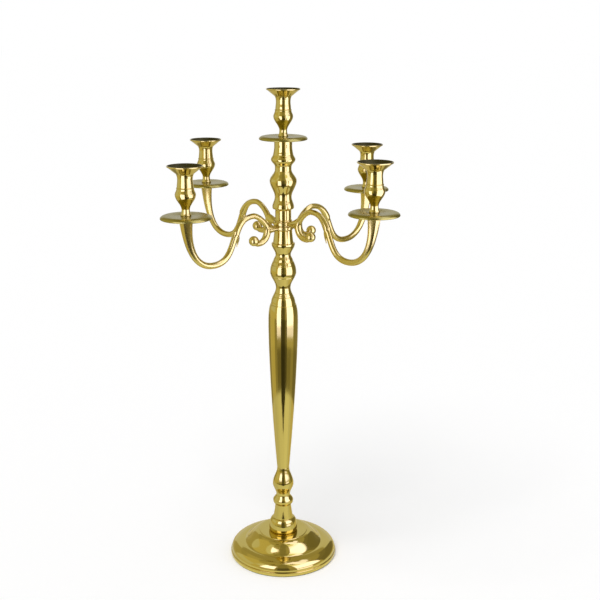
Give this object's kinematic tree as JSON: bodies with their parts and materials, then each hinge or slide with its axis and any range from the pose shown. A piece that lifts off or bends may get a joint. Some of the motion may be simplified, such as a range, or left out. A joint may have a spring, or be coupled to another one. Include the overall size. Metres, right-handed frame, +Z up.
{
  "type": "tabletop candelabra",
  "caption": "Tall turned brass candelabra with a domed foot, S-scrolled double arms that swivel on the stem, drip pans and candle cups for dinner tapers.",
  "frame": {"origin": "centre of the foot's felt underside, on the surface the candelabra stands on", "axes": "+Z up along the stem, the lower double arm along Y and the upper double arm along X"},
  "size_m": [0.4944, 0.4944, 0.8424],
  "materials": {
    "polished_brass": "polished and lacquered yellow brass",
    "zinc_steel": "zinc-plated steel fastenings",
    "green_felt": "thin pressed felt"
  },
  "bodies": {
    "stem": {"foot": "polished_brass", "foot_felt": "green_felt", "foot_washer": "zinc_steel", "foot_nut": "zinc_steel", "tie_rod": "zinc_steel", "lower_knop": "polished_brass", "column": "polished_brass", "upper_knop": "polished_brass", "top_column": "polished_brass", "top_stud": "zinc_steel", "top_pan": "polished_brass", "top_cup": "polished_brass"},
    "lower_arm_set": {"lower_arms": "polished_brass", "lower_studs": "zinc_steel", "front_pan": "polished_brass", "back_pan": "polished_brass", "front_cup": "polished_brass", "back_cup": "polished_brass"},
    "upper_arm_set": {"upper_arms": "polished_brass", "upper_studs": "zinc_steel", "left_pan": "polished_brass", "right_pan": "polished_brass", "left_cup": "polished_brass", "right_cup": "polished_brass"}
  },
  "joints": [
    {"name": "lower_arms_swivel", "type": "hinge", "parent": "stem", "child": "lower_arm_set", "pos_m": [0, 0, 0.61065], "axis": [0, 0, 1], "continuous": true},
    {"name": "upper_arms_swivel", "type": "hinge", "parent": "lower_arm_set", "child": "upper_arm_set", "pos_m": [0, 0, 0.61815], "axis": [0, 0, 1], "range_deg": [-60, 60]}
  ]
}
